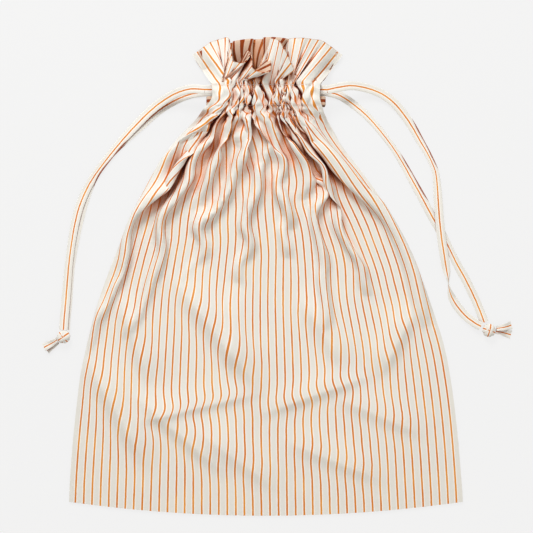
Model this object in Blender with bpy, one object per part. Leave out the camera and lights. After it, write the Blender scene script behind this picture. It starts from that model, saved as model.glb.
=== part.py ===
"""A drawstring laundry bag, empty and lying on its back, with its neck drawn up.

+X is the bag's right, +Y runs from the bottom seam to the mouth and +Z is up.
The origin is on the surface that the bag lies on, under the middle of its
length and width. Every measure is in metres.

Two cloth panels are sewn together down the sides and along the bottom. At the
mouth each panel is turned down inside as a facing. Two rows of stitches hold
the facing to the panel, and the tunnel between the rows carries both
drawstrings. Each drawstring goes in at one side, round the whole neck and out
at the same side, where its ends are tied together in a knot. The two cross
inside the tunnel, so on each side the ends leave above the other one's turn.
"""

from math import cos, pi, sin, sqrt

import bmesh
import bpy
import numpy as np
from mathutils import Matrix, Vector

# Outline: distance up the bag, then the left and the right edge there
OUTLINE = (
    (-0.2395, -0.198, 0.198),
    (-0.2200, -0.1975, 0.197),
    (-0.1650, -0.194, 0.193),
    (-0.1175, -0.189, 0.188),
    (-0.0700, -0.181, 0.180),
    (-0.0210, -0.168, 0.164),
    (0.0265, -0.150, 0.146),
    (0.0745, -0.130, 0.119),
    (0.1100, -0.110, 0.094),
    (0.1350, -0.095, 0.073),
    (0.1520, -0.078, 0.062),
    (0.1620, -0.064, 0.057),
    (0.1690, -0.053, 0.053),
    (0.1930, -0.053, 0.053),
    (0.2050, -0.060, 0.059),
    (0.2200, -0.069, 0.071),
    (0.2395, -0.074, 0.077),
)
BOTTOM_Y = OUTLINE[0][0]
MOUTH_Y = OUTLINE[-1][0]
BOTTOM_BOW = 0.014  # how far the bottom corners lie above the middle of the hem
MOUTH_BOW = 0.016  # how far the mouth's corners lie below its middle

# Cloth
CLOTH = 0.0008
FACING_CLOTH = 0.0006
LAYER_GAP = 0.0003  # between layers that lie on each other

# Drawstrings: tapes of the bag's own cloth, folded and stitched flat
TAPE_WIDTH = 0.009
TAPE = 0.0010
EXIT_LANE = 0.1865  # where the knotted ends leave the tunnel
TURN_LANE = 0.1755  # where the other drawstring turns back round the side
EXIT_X = 0.0560
TURN_X = 0.0590
TURN_RADIUS = 0.0030
TURN_STEPS = 4
SLIDING_LENGTH = 0.0400  # the straight stretch at each exit that slides out of the tunnel
LEFT_TAPE_Z = {"front": 0.0189, "back": 0.0016}
RIGHT_TAPE_Z = {"front": 0.0176, "back": 0.0029}

# Rows of the panels, more of them where the shape changes quickly
ROWS = (
    -0.2395, -0.2320, -0.2200, -0.2000, -0.1700, -0.1300, -0.0900, -0.0500,
    -0.0100, 0.0300, 0.0600, 0.0850, 0.1050, 0.1220, 0.1370, 0.1500, 0.1600,
    0.1690, 0.1930, 0.2010, 0.2100, 0.2200, 0.2300, 0.2395,
)  # fmt: skip
PLEATS = 9
SAMPLES_PER_PLEAT = 4
PLEAT_HEIGHT = 0.0130
BACK_COLUMNS = 6

# Heights up the bag: the valleys between the pleats at the middle, and the side edges
SEAM_Z = CLOTH + LAYER_GAP + CLOTH + LAYER_GAP + CLOTH
TUNNEL_Z = 0.0205
CROWN = (
    (-0.2395, SEAM_Z), (-0.2200, 0.0075), (-0.1800, 0.0105), (-0.1000, 0.0130),
    (0.0000, 0.0150), (0.0800, 0.0175), (0.1300, 0.0195), (0.1690, TUNNEL_Z),
    (0.1930, TUNNEL_Z), (0.2395, TUNNEL_Z),
)  # fmt: skip
EDGE = (
    (-0.2395, SEAM_Z), (0.1500, SEAM_Z), (0.1690, TUNNEL_Z),
    (0.1930, TUNNEL_Z), (0.2100, SEAM_Z), (0.2395, SEAM_Z),
)  # fmt: skip
PLEAT_SHARE = ((-0.0700, 0.0), (0.0600, 0.30), (0.1300, 0.75), (0.1690, 1.0))

# Facings, the cloth turned down inside the mouth
FACING_ROWS = (0.1640, 0.1690, 0.1930, 0.2010, 0.2100, 0.2250, 0.2370)
FACING_SHARE = 0.93  # of the panel's width, so that the side seams stay clear
FACING_COLUMNS = 12
TUNNEL_DEPTH = 2 * TAPE + 3 * LAYER_GAP
BACK_FACING_Z = CLOTH + TUNNEL_DEPTH

# Seam allowances, folded inside along the sides and the bottom
ALLOWANCE = 0.006
ALLOWANCE_INSET = 0.0007
ALLOWANCE_Z = CLOTH + LAYER_GAP
SIDE_SEAM_ROWS = (-0.2180, -0.1650, -0.1175, -0.0700, -0.0210, 0.0265, 0.0745, 0.1100, 0.1350, 0.1460)
MOUTH_SEAM_ROWS = (0.2150, 0.2200, 0.2265)
BOTTOM_SEAM_HALF = 0.186
BOTTOM_SEAM_COLUMNS = 10

# Stitches
STITCH_ROWS = {"lower": 0.1695, "upper": 0.1925}
THREAD = 0.0006
BACK_STITCH_HALF = 0.046
TACK_SIZE = Vector((0.006, 0.002, CLOTH))
TACK_ROWS = {"lower": 0.1485, "upper": 0.2125}

# Free stretches, from the hinge at the tunnel's mouth to the knot
HINGE_X = EXIT_X + LAYER_GAP + TAPE_WIDTH / 2
STATION = 0.020
LEFT_FRONT = (
    (-HINGE_X, EXIT_LANE, 0.0189), (-0.0760, 0.1872, 0.0165), (-0.0930, 0.1824, 0.0100),
    (-0.1120, 0.1705, 0.0048), (-0.1300, 0.1535, 0.0028), (-0.1480, 0.1336, 0.0021),
    (-0.1640, 0.1136, 0.0021), (-0.1768, 0.0950, 0.0021), (-0.1862, 0.0750, 0.0021),
    (-0.1915, 0.0560, 0.0021), (-0.1950, 0.0368, 0.0021), (-0.1977, 0.0171, 0.0021),
    (-0.1995, -0.0025, 0.0022), (-0.2010, -0.0221, 0.0026), (-0.2024, -0.0400, 0.0042),
    (-0.2030, -0.0525, 0.0056),
)  # fmt: skip
LEFT_BACK = (
    (-HINGE_X, EXIT_LANE, 0.0016), (-0.0760, 0.1842, 0.0010), (-0.0915, 0.1780, 0.0007),
    (-0.1085, 0.1670, 0.0007), (-0.1260, 0.1500, 0.0007), (-0.1438, 0.1306, 0.0007),
    (-0.1598, 0.1106, 0.0007), (-0.1722, 0.0930, 0.0007), (-0.1812, 0.0735, 0.0007),
    (-0.1866, 0.0555, 0.0007), (-0.1900, 0.0360, 0.0007), (-0.1925, 0.0171, 0.0007),
    (-0.1946, -0.0025, 0.0007), (-0.1970, -0.0221, 0.0010), (-0.1998, -0.0400, 0.0022),
    (-0.2010, -0.0525, 0.0034),
)  # fmt: skip
RIGHT_FRONT = (
    (HINGE_X, EXIT_LANE, 0.0176), (0.0720, 0.1890, 0.0165), (0.0850, 0.1912, 0.0125),
    (0.0990, 0.1898, 0.0080), (0.1140, 0.1852, 0.0048), (0.1268, 0.1768, 0.0032),
    (0.1376, 0.1650, 0.0018), (0.1468, 0.1518, 0.0010), (0.1551, 0.1372, 0.0008),
    (0.1635, 0.1225, 0.0010), (0.1699, 0.1076, 0.0016), (0.1720, 0.0930, 0.0022),
    (0.1730, 0.0770, 0.0024), (0.1742, 0.0600, 0.0024), (0.1762, 0.0410, 0.0024),
    (0.1790, 0.0225, 0.0022), (0.1820, 0.0040, 0.0013), (0.1850, -0.0145, 0.0008),
    (0.1905, -0.0262, 0.0009), (0.1992, -0.0373, 0.0020), (0.2085, -0.0450, 0.0042),
    (0.2156, -0.0490, 0.0056),
)  # fmt: skip
RIGHT_BACK = (
    (HINGE_X, EXIT_LANE, 0.0029), (0.0740, 0.1830, 0.0016), (0.0882, 0.1738, 0.0007),
    (0.1030, 0.1610, 0.0007), (0.1165, 0.1455, 0.0007), (0.1280, 0.1302, 0.0007),
    (0.1376, 0.1150, 0.0007), (0.1468, 0.0984, 0.0007), (0.1561, 0.0817, 0.0007),
    (0.1650, 0.0651, 0.0007), (0.1735, 0.0500, 0.0007), (0.1822, 0.0337, 0.0007),
    (0.1912, 0.0152, 0.0007), (0.2004, -0.0015, 0.0007), (0.2086, -0.0181, 0.0009),
    (0.2148, -0.0329, 0.0018), (0.2192, -0.0452, 0.0034),
)  # fmt: skip

# Knots and the tails beyond them
KNOT_SIZE = Vector((0.0135, 0.0125, 0.0090))
LEFT_KNOT = Vector((-0.2031, -0.0595, KNOT_SIZE.z / 2))
RIGHT_KNOT = Vector((0.2235, -0.0530, KNOT_SIZE.z / 2))
TAIL_WIDTH = 0.0060
TAIL_STATION = 0.006
LEFT_TAILS = (
    ((-0.2096, -0.0626, 0.0056), (-0.2150, -0.0660, 0.0048), (-0.2228, -0.0703, 0.0036)),
    ((-0.2090, -0.0645, 0.0030), (-0.2145, -0.0684, 0.0020), (-0.2205, -0.0732, 0.0010)),
)
RIGHT_TAILS = (
    ((0.2310, -0.0512, 0.0056), (0.2385, -0.0500, 0.0047), (0.2462, -0.0478, 0.0036)),
    ((0.2310, -0.0542, 0.0030), (0.2385, -0.0555, 0.0020), (0.2462, -0.0575, 0.0010)),
)

COTTON = (0.83, 0.81, 0.75)
ORANGE = (0.78, 0.42, 0.13)
THREAD_COLOUR = (0.86, 0.84, 0.78)
COTTON_ROUGHNESS = 0.9


def cotton(name, colour):
    """A dull woven finish in one colour."""
    material = bpy.data.materials.new(name)
    material.use_nodes = True
    shader = material.node_tree.nodes["Principled BSDF"]
    shader.inputs["Base Color"].default_value = (*colour, 1)
    shader.inputs["Roughness"].default_value = COTTON_ROUGHNESS
    shader.inputs["Metallic"].default_value = 0.0
    return material


def level(steps, y):
    """The value at y on straight lines between (y, value) pairs."""
    at, value = zip(*steps)
    return float(np.interp(y, at, value))


def edges_at(y):
    left = level([row[:2] for row in OUTLINE], y)
    right = level([row[::2] for row in OUTLINE], y)
    return left, right


def place(y, side):
    """The plan position at row y, where side runs from -1 at the left edge to 1 at the right."""
    left, right = edges_at(y)
    x = left + (right - left) * (side + 1) / 2
    if y < 0:
        bow = BOTTOM_BOW * (y / BOTTOM_Y) ** 4
    else:
        bow = -MOUTH_BOW * (y / MOUTH_Y) ** 12
    return x, y + bow * side * side


def valley(y, side):
    """The height of the valleys between the pleats."""
    edge = level(EDGE, y)
    return edge + (level(CROWN, y) - edge) * (1 - side**4)


def pleated(y, side):
    """The height of the front panel's outside."""
    wave = 0.5 - 0.5 * cos(pi * PLEATS * (side + 1))
    return valley(y, side) + PLEAT_HEIGHT * level(PLEAT_SHARE, y) * wave


def surface(rows, sides, height):
    """A grid of points, [row][side], at height(y, side)."""
    return np.array([[(*place(y, s), height(y, s)) for s in sides] for y in rows])


def normals(grid):
    along = np.gradient(grid, axis=0)
    across = np.gradient(grid, axis=1)
    facing = np.cross(across, along)
    return facing / np.linalg.norm(facing, axis=2, keepdims=True)


def finish(name, data, material):
    data.materials.append(material)
    piece = bpy.data.objects.new(name, data)
    bpy.context.scene.collection.objects.link(piece)
    return piece


def solid(name, mesh, material):
    data = bpy.data.meshes.new(name)
    bmesh.ops.recalc_face_normals(mesh, faces=mesh.faces)
    mesh.to_mesh(data)
    mesh.free()
    data.shade_smooth()
    data.set_sharp_from_angle(angle=pi / 4)
    return finish(name, data, material)


def layer(name, top, bottom, material):
    """A closed cloth layer between two grids of the same shape."""
    mesh = bmesh.new()
    upper = [[mesh.verts.new(p) for p in row] for row in top]
    lower = [[mesh.verts.new(p) for p in row] for row in bottom]
    rows, columns = len(upper), len(upper[0])
    for i in range(rows - 1):
        for j in range(columns - 1):
            for side in (upper, lower):
                mesh.faces.new((side[i][j], side[i][j + 1], side[i + 1][j + 1], side[i + 1][j]))
    rim = [(0, j) for j in range(columns)]
    rim += [(i, columns - 1) for i in range(1, rows)]
    rim += [(rows - 1, j) for j in range(columns - 2, -1, -1)]
    rim += [(i, 0) for i in range(rows - 2, 0, -1)]
    for (i, j), (k, m) in zip(rim, rim[1:] + rim[:1]):
        mesh.faces.new((upper[i][j], upper[k][m], lower[k][m], lower[i][j]))
    return solid(name, mesh, material)


def block(name, centre, size, material):
    mesh = bmesh.new()
    bmesh.ops.create_cube(mesh, size=1, matrix=Matrix.LocRotScale(Vector(centre), None, size))
    return solid(name, mesh, material)


def panels(cloth):
    """The front panel, pleated towards the neck, and the back panel, flat on the surface."""
    sides = np.linspace(-1, 1, PLEATS * SAMPLES_PER_PLEAT + 1)
    top = surface(ROWS, sides, pleated)
    layer("front_panel", top, top - normals(top) * CLOTH, cloth)
    bottom = surface(ROWS, np.linspace(-1, 1, BACK_COLUMNS + 1), lambda y, side: 0)
    layer("back_panel", bottom + (0, 0, CLOTH), bottom, cloth)


def facings(cloth):
    """The cloth turned down inside the mouth of each panel."""
    sides = np.linspace(-FACING_SHARE, FACING_SHARE, FACING_COLUMNS + 1)
    panel = surface(FACING_ROWS, sides, valley)
    down = -normals(panel)
    gaps = [level(((0.1930, TUNNEL_DEPTH), (0.2100, LAYER_GAP)), y) for y in FACING_ROWS]
    top = panel + down * (CLOTH + np.array(gaps))[:, None, None]
    layer("front_facing", top, top + down * FACING_CLOTH, cloth)
    bottom = surface(FACING_ROWS, sides, lambda y, side: BACK_FACING_Z)
    layer("back_facing", bottom + (0, 0, FACING_CLOTH), bottom, cloth)


def side_allowance(name, rows, side, cloth):
    """A seam allowance along one side edge, between the two panels."""
    low = []
    for y in rows:
        x, y = place(y, side)
        outer = x - side * ALLOWANCE_INSET
        low.append(((outer, y, ALLOWANCE_Z), (outer - side * ALLOWANCE, y, ALLOWANCE_Z)))
    low = np.array(low)
    layer(name, low + (0, 0, CLOTH), low, cloth)


def seams(cloth):
    for label, side in (("left", -1), ("right", 1)):
        side_allowance(f"{label}_side_seam", SIDE_SEAM_ROWS, side, cloth)
        side_allowance(f"{label}_mouth_seam", MOUTH_SEAM_ROWS, side, cloth)
    half_width = edges_at(BOTTOM_Y)[1]
    low = []
    for x in np.linspace(-BOTTOM_SEAM_HALF, BOTTOM_SEAM_HALF, BOTTOM_SEAM_COLUMNS + 1):
        y = place(BOTTOM_Y, x / half_width)[1] + ALLOWANCE_INSET
        low.append(((x, y, ALLOWANCE_Z), (x, y + ALLOWANCE, ALLOWANCE_Z)))
    low = np.array(low)
    layer("bottom_seam", low + (0, 0, CLOTH), low, cloth)


def stitches(thread):
    """Two rows of thread round the neck make the tunnel, and a bar tack ends each side opening."""
    sides = np.linspace(-1, 1, PLEATS * SAMPLES_PER_PLEAT + 1)[1:-1]
    lift = np.array((0, 0, LAYER_GAP))
    back_z = BACK_FACING_Z + FACING_CLOTH + LAYER_GAP + THREAD / 2
    for label, y in STITCH_ROWS.items():
        low = surface((y - THREAD / 2, y + THREAD / 2), sides, pleated) + lift
        layer(f"front_{label}_stitches", low + (0, 0, THREAD), low, thread)
        size = Vector((2 * BACK_STITCH_HALF, THREAD, THREAD))
        block(f"back_{label}_stitches", (0, y, back_z), size, thread)
    for label, side in (("left", -1), ("right", 1)):
        for row, y in TACK_ROWS.items():
            x = place(y, side)[0] - side * (ALLOWANCE_INSET + TACK_SIZE.x / 2)
            centre = (x, place(y, side)[1], ALLOWANCE_Z + TACK_SIZE.z / 2)
            block(f"{label}_{row}_bar_tack", centre, TACK_SIZE, thread)


def tunnel_tape(name, line, material):
    """A tape that stays level from side to side, 9 mm wide along Y, through the points of line."""
    line = [Vector(p) for p in line]
    half = np.array((0, TAPE_WIDTH / 2, 0))
    top, bottom = [], []
    for i, point in enumerate(line):
        ahead = line[min(i + 1, len(line) - 1)] - line[max(i - 1, 0)]
        up = np.array(Vector((-ahead.z, 0, ahead.x)).normalized()) * TAPE / 2
        centre = np.array(point)
        top.append((centre + up - half, centre + up + half))
        bottom.append((centre - up - half, centre - up + half))
    return layer(name, np.array(top), np.array(bottom), material)


def turn(label, side, heights, material):
    """The far stretch of a drawstring, out of one tunnel, round the neck and into the other.

    side is the side where it turns. Half-way along the tunnel it moves over to the lane below.
    """
    high, low = heights["front"], heights["back"]
    inner = EXIT_X - SLIDING_LENGTH - LAYER_GAP
    straight = TURN_X - TURN_RADIUS
    front = [(-inner, EXIT_LANE, high), (inner, TURN_LANE, high)]
    back = [(inner, TURN_LANE, low), (-inner, EXIT_LANE, low)]
    bend = []
    for step in range(TURN_STEPS + 1):
        angle = pi / 2 * step / TURN_STEPS
        x = straight + TURN_RADIUS * sin(angle)
        bend.append((x, TURN_LANE, TURN_RADIUS * (1 - cos(angle))))
    upper = [(x, y, high - z) for x, y, z in bend]
    lower = [(x, y, low + z) for x, y, z in reversed(bend)]
    line = [(side * x, y, z) for x, y, z in front + upper + lower + back]
    tunnel_tape(f"{label}_tape_turn", line, material)


def smooth_line(points, spacing):
    """Points about spacing apart along the Catmull-Rom curve through the given ones."""
    given = [Vector(p) for p in points]
    given = [2 * given[0] - given[1], *given, 2 * given[-1] - given[-2]]
    fine = []
    steps = np.linspace(0, 1, 24, endpoint=False)
    for a, b, c, d in zip(given, given[1:], given[2:], given[3:]):
        for t in steps:
            bend = (2 * a - 5 * b + 4 * c - d) * t**2 + (3 * b - a - 3 * c + d) * t**3
            fine.append(b + ((c - a) * t + bend) / 2)
    fine.append(given[-2])
    travelled = np.cumsum([0] + [(q - p).length for p, q in zip(fine, fine[1:])])
    count = round(travelled[-1] / spacing) + 1
    at = np.linspace(0, travelled[-1], count)
    columns = [np.interp(at, travelled, [p[k] for p in fine]) for k in range(3)]
    return [Vector(p) for p in zip(*columns)]


def free_tape(name, line, widths, material):
    """A tape that lies flat along a line, widths being each point's share of its full width."""
    data = bpy.data.curves.new(name, "CURVE")
    data.dimensions = "3D"
    data.twist_mode = "Z_UP"
    data.bevel_depth = TAPE / 2
    data.bevel_resolution = 2
    data.use_fill_caps = True
    spline = data.splines.new("POLY")
    spline.points.add(len(line) - 1)
    for point, place_of_point, share in zip(spline.points, line, widths):
        point.co = (*place_of_point, 1)
        point.radius = share
        point.tilt = pi / 2
    return finish(name, data, material)


def strand(name, route, material):
    """A free stretch of drawstring, with a half-round end about its hinge."""
    line = smooth_line(route, STATION)
    direction = (line[1] - line[0]).normalized()
    nose = [(share, sqrt(1 - share**2)) for share in (0.97, 0.75, 0.4)]
    tip = [line[0] - direction * share * TAPE_WIDTH / 2 for share, _ in nose]
    widths = [width for _, width in nose] + [1] * len(line)
    tape = free_tape(name, tip + line, widths, material)
    tape.data.extrude = (TAPE_WIDTH - TAPE) / 2
    return tape


def tail(name, route, material):
    line = smooth_line(route, TAIL_STATION)
    tape = free_tape(name, line, [1] * len(line), material)
    tape.data.extrude = (TAIL_WIDTH - TAPE) / 2
    return tape


def knot(name, centre, material):
    """A tight overhand knot in both ends, as a plain rounded lump."""
    mesh = bmesh.new()
    placing = Matrix.LocRotScale(centre, None, KNOT_SIZE)
    bmesh.ops.create_icosphere(mesh, subdivisions=2, radius=0.5, matrix=placing)
    return solid(name, mesh, material)


def empty(name, location):
    found = bpy.data.objects.new(name, None)
    found.location = location
    bpy.context.scene.collection.objects.link(found)
    return found


def hang(piece, parent):
    """Parents a piece and leaves it where it is."""
    bpy.context.view_layer.update()
    place_now = piece.matrix_world.copy()
    piece.parent = parent
    piece.matrix_parent_inverse = parent.matrix_world.inverted()
    piece.matrix_world = place_now


def drawstring(label, side, heights, routes, knot_centre, tails, material):
    """One drawstring. side is where its ends are knotted, -1 for left and 1 for right."""
    pull = empty(f"{label}_pull", (side * EXIT_X, EXIT_LANE, 0))
    swing = empty(f"{label}_swing", (side * HINGE_X, EXIT_LANE, 0))
    hang(swing, pull)
    turn(label, -side, heights, material)
    for face, route in zip(("front", "back"), routes):
        ends = [(side * x, EXIT_LANE, heights[face]) for x in (EXIT_X, EXIT_X - SLIDING_LENGTH)]
        hang(tunnel_tape(f"{label}_{face}_sliding_tape", ends, material), pull)
        hang(strand(f"{label}_{face}_strand", route, material), swing)
    hang(knot(f"{label}_knot", knot_centre, material), swing)
    for face, route in zip(("upper", "lower"), tails):
        hang(tail(f"{label}_{face}_tail", route, material), swing)


def main():
    for old in list(bpy.data.objects):
        bpy.data.objects.remove(old)
    cloth = cotton("striped_cotton", COTTON)
    tape = cotton("cotton_tape", ORANGE)
    panels(cloth)
    facings(cloth)
    seams(cloth)
    stitches(cotton("sewing_thread", THREAD_COLOUR))
    left_routes = (LEFT_FRONT, LEFT_BACK)
    right_routes = (RIGHT_FRONT, RIGHT_BACK)
    drawstring("left", -1, LEFT_TAPE_Z, left_routes, LEFT_KNOT, LEFT_TAILS, tape)
    drawstring("right", 1, RIGHT_TAPE_Z, right_routes, RIGHT_KNOT, RIGHT_TAILS, tape)


main()
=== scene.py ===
"""Looks of a drawstring laundry bag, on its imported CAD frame. Every measure is in metres.

The front panel is a sheet that is folded row by row into the drawn-up neck, and then
left to settle under its own weight by the small cloth solver below.
"""

from math import cos, pi, radians, sin

import bmesh
import bpy
import numpy as np
from mathutils import Matrix, Vector


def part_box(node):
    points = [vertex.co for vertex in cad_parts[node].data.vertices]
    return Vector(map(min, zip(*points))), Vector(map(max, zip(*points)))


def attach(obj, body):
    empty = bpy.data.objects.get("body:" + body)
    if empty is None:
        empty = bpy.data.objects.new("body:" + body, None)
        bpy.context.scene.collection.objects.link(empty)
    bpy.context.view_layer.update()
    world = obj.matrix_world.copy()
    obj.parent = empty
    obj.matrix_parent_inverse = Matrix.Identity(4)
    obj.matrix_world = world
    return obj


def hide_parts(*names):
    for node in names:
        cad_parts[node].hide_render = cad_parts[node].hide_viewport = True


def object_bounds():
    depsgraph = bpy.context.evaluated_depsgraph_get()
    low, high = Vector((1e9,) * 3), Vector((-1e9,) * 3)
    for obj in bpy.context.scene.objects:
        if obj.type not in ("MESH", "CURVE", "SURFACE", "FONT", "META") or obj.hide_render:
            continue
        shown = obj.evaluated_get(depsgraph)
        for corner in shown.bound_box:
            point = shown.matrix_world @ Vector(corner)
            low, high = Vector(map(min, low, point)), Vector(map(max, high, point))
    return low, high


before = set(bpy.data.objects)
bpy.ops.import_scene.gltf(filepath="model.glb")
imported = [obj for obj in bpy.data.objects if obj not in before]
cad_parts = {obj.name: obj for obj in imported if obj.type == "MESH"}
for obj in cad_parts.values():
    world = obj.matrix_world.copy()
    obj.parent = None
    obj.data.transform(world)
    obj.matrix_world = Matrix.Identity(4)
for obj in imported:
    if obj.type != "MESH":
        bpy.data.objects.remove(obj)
cad_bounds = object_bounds()

# --- the part's own sizes
OUTLINE = (  # distance up the bag, then the left and the right edge there, as in the part's source
    (-0.2395, -0.198, 0.198), (-0.2200, -0.1975, 0.197), (-0.1650, -0.194, 0.193),
    (-0.1175, -0.189, 0.188), (-0.0700, -0.181, 0.180), (-0.0210, -0.168, 0.164),
    (0.0265, -0.150, 0.146), (0.0745, -0.130, 0.119), (0.1100, -0.110, 0.094),
    (0.1350, -0.095, 0.073), (0.1520, -0.078, 0.062), (0.1620, -0.064, 0.057),
    (0.1690, -0.053, 0.053), (0.1930, -0.053, 0.053), (0.2050, -0.060, 0.059),
    (0.2200, -0.069, 0.071), (0.2395, -0.074, 0.077),
)
BOTTOM_Y, MOUTH_Y = OUTLINE[0][0], OUTLINE[-1][0]
BOTTOM_BOW = 0.014
MOUTH_BOW = 0.016
FLAT_WIDTH, FLAT_LENGTH = 0.400, 0.500
TUNNEL = (0.430, 0.452)  # where the tunnel runs across the flat cloth
TUNNEL_Y = (0.1690, 0.1930)
STRIPE_PITCH = 0.0086

TAPE_WIDTH = 0.0088
TAPE_THICK = 0.0011
TAPE_FLATTENED = 0.0010  # its thickness inside the tunnel
LINE_SPACING = 0.0025
HINGE_X = 0.0608
EXIT_LANE = 0.1865
TURN_LANE = 0.1755
LEFT_FRONT = (
    (-HINGE_X, EXIT_LANE, 0.0189), (-0.0760, 0.1872, 0.0165), (-0.0930, 0.1824, 0.0100),
    (-0.1120, 0.1705, 0.0048), (-0.1300, 0.1535, 0.0028), (-0.1480, 0.1336, 0.0021),
    (-0.1640, 0.1136, 0.0021), (-0.1768, 0.0950, 0.0021), (-0.1862, 0.0750, 0.0021),
    (-0.1915, 0.0560, 0.0021), (-0.1950, 0.0368, 0.0021), (-0.1977, 0.0171, 0.0021),
    (-0.1995, -0.0025, 0.0022), (-0.2010, -0.0221, 0.0026), (-0.2024, -0.0400, 0.0042),
    (-0.2030, -0.0525, 0.0056),
)
LEFT_BACK = (
    (-HINGE_X, EXIT_LANE, 0.0016), (-0.0760, 0.1842, 0.0010), (-0.0915, 0.1780, 0.0007),
    (-0.1085, 0.1670, 0.0007), (-0.1260, 0.1500, 0.0007), (-0.1438, 0.1306, 0.0007),
    (-0.1598, 0.1106, 0.0007), (-0.1722, 0.0930, 0.0007), (-0.1812, 0.0735, 0.0007),
    (-0.1866, 0.0555, 0.0007), (-0.1900, 0.0360, 0.0007), (-0.1925, 0.0171, 0.0007),
    (-0.1946, -0.0025, 0.0007), (-0.1970, -0.0221, 0.0010), (-0.1998, -0.0400, 0.0022),
    (-0.2010, -0.0525, 0.0034),
)
RIGHT_FRONT = (
    (HINGE_X, EXIT_LANE, 0.0176), (0.0720, 0.1890, 0.0165), (0.0850, 0.1912, 0.0125),
    (0.0990, 0.1898, 0.0080), (0.1140, 0.1852, 0.0048), (0.1268, 0.1768, 0.0032),
    (0.1376, 0.1650, 0.0018), (0.1468, 0.1518, 0.0010), (0.1551, 0.1372, 0.0008),
    (0.1635, 0.1225, 0.0010), (0.1699, 0.1076, 0.0016), (0.1720, 0.0930, 0.0022),
    (0.1730, 0.0770, 0.0024), (0.1742, 0.0600, 0.0024), (0.1762, 0.0410, 0.0024),
    (0.1790, 0.0225, 0.0022), (0.1820, 0.0040, 0.0013), (0.1850, -0.0145, 0.0008),
    (0.1905, -0.0262, 0.0009), (0.1992, -0.0373, 0.0020), (0.2085, -0.0450, 0.0042),
    (0.2156, -0.0490, 0.0056),
)
RIGHT_BACK = (
    (HINGE_X, EXIT_LANE, 0.0029), (0.0740, 0.1830, 0.0016), (0.0882, 0.1738, 0.0007),
    (0.1030, 0.1610, 0.0007), (0.1165, 0.1455, 0.0007), (0.1280, 0.1302, 0.0007),
    (0.1376, 0.1150, 0.0007), (0.1468, 0.0984, 0.0007), (0.1561, 0.0817, 0.0007),
    (0.1650, 0.0651, 0.0007), (0.1735, 0.0500, 0.0007), (0.1822, 0.0337, 0.0007),
    (0.1912, 0.0152, 0.0007), (0.2004, -0.0015, 0.0007), (0.2086, -0.0181, 0.0009),
    (0.2148, -0.0329, 0.0018), (0.2192, -0.0452, 0.0034),
)
LEFT_TAILS = (
    ((-0.2096, -0.0626, 0.0056), (-0.2150, -0.0660, 0.0048), (-0.2228, -0.0703, 0.0036)),
    ((-0.2090, -0.0645, 0.0030), (-0.2145, -0.0684, 0.0020), (-0.2205, -0.0732, 0.0010)),
)
RIGHT_TAILS = (
    ((0.2310, -0.0512, 0.0056), (0.2385, -0.0500, 0.0047), (0.2462, -0.0478, 0.0036)),
    ((0.2310, -0.0542, 0.0030), (0.2385, -0.0555, 0.0020), (0.2462, -0.0575, 0.0010)),
)


def placed(name, data):
    """A new object in the scene."""
    made = bpy.data.objects.new(name, data)
    bpy.context.scene.collection.objects.link(made)
    return made


# --- camera
CAMERA_LENS = 85
CAMERA_SENSOR = 36
VIEW_WIDTH = 0.533
VIEW_CENTRE = (0.0005, 0.0110)


def add_camera():
    """Straight down, with the bag's mouth at the top of the picture."""
    data = bpy.data.cameras.new("camera")
    data.lens = CAMERA_LENS
    data.sensor_width = CAMERA_SENSOR
    camera = placed("camera", data)
    height = Vector(cad_bounds[1]).z
    camera.location = (*VIEW_CENTRE, VIEW_WIDTH * CAMERA_LENS / CAMERA_SENSOR + height / 4)
    bpy.context.scene.camera = camera


# --- node helpers
class Nodes:
    """Short names for building a material's node tree."""

    def __init__(self, name):
        self.material = bpy.data.materials.new(name)
        self.material.use_nodes = True
        self.tree = self.material.node_tree
        self.shader = self.tree.nodes["Principled BSDF"]

    def plug(self, value, socket):
        if hasattr(value, "is_output"):
            self.tree.links.new(value, socket)
        elif value is not None:
            socket.default_value = value

    def node(self, kind, *inputs, out=0, **settings):
        """A new node's output, with its first inputs filled in order and None left alone."""
        made = self.tree.nodes.new(kind)
        for key, value in settings.items():
            setattr(made, key, value)
        for socket, value in zip(made.inputs, inputs):
            self.plug(value, socket)
        return made.outputs[out]

    def math(self, operation, *inputs):
        return self.node("ShaderNodeMath", *inputs, operation=operation)

    def ramp(self, value, *range_in_out):
        return self.node("ShaderNodeMapRange", value, *range_in_out)

    def mix(self, factor, first, second):
        made = self.tree.nodes.new("ShaderNodeMix")
        made.data_type = "RGBA"
        self.plug(factor, made.inputs["Factor"])
        self.plug(first, made.inputs["A"])
        self.plug(second, made.inputs["B"])
        return made.outputs["Result"]

    def noise(self, vector, scale, detail=2.0, roughness=0.5):
        return self.node("ShaderNodeTexNoise", vector, None, scale, detail, roughness)

    def bump(self, height, strength, distance):
        bumped = self.node("ShaderNodeBump", strength, distance, None, height)
        self.plug(bumped, self.shader.inputs["Normal"])

    def surface(self, **values):
        """Plugs into the shader's own sockets, whose names have _ for a space here."""
        for name, value in values.items():
            self.plug(value, self.shader.inputs[name.replace("_", " ")])


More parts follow.
